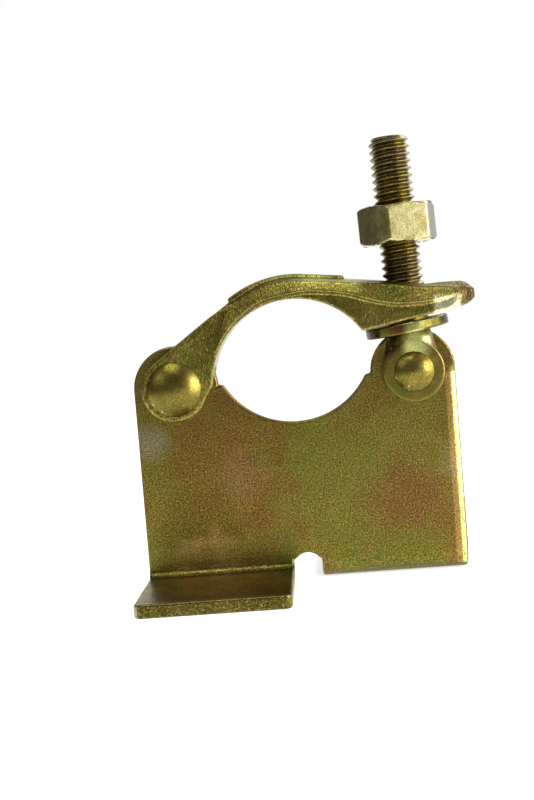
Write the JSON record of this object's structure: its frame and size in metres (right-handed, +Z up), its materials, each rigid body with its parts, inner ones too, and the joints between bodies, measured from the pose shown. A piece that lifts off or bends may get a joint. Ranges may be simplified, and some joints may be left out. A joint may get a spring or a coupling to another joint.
{
  "type": "board retaining scaffold coupler",
  "caption": "Board-retaining scaffold coupler: pressed plate with a half-round tube seat and opposed board lips, hinged forged cap, and slotted swing bolt with hex nut and washer.",
  "frame": {"origin": "axis of the half-round tube seat, in the middle of the plate's thickness", "axes": "+Y along the tube's axis, from the plate's front face to its back; +X across the plate from the hinge rivet to the swing bolt; +Z up from the board lips to the cap"},
  "size_m": [0.1022, 0.0772, 0.1291],
  "materials": {
    "plate_steel": "zinc plated and yellow passivated, olive gold with brown and green clouds",
    "forged_steel": "zinc plated and yellow passivated, yellow green, fine forged grain",
    "bolt_steel": "zinc plated and yellow passivated, dark bronze",
    "nut_steel": "zinc plated and yellow passivated, pale straw",
    "washer_steel": "zinc plated and yellow passivated, orange to green",
    "rivet_steel": "zinc plated and yellow passivated"
  },
  "bodies": {
    "plate": {"body_plate": "plate_steel", "hinge_rivet": "rivet_steel", "pivot_rivet": "rivet_steel"},
    "cap": {"cap": "forged_steel"},
    "bolt": {"swing_bolt": "bolt_steel", "washer": "washer_steel"},
    "nut": {"hex_nut": "nut_steel"}
  },
  "joints": [
    {"name": "bolt_swing", "type": "hinge", "parent": "plate", "child": "bolt", "pos_m": [0.0353, 0, -0.0116], "axis": [0, 1, 0], "range_deg": [0, 80]},
    {"name": "cap_hinge", "type": "hinge", "parent": "plate", "child": "cap", "pos_m": [-0.0353, 0, -0.0116], "axis": [0, -1, 0], "range_deg": [0, 120]},
    {"name": "nut_travel", "type": "slide", "parent": "bolt", "child": "nut", "axis": [-0.0349, 0, 0.9994], "range_m": [-0.0115, 0.0198]}
  ],
  "couplings": [
    {"joint": "cap_hinge", "follows": "bolt_swing", "ratio": 0.45},
    {"joint": "nut_travel", "follows": "bolt_swing", "m_per_rad": 0.014}
  ]
}
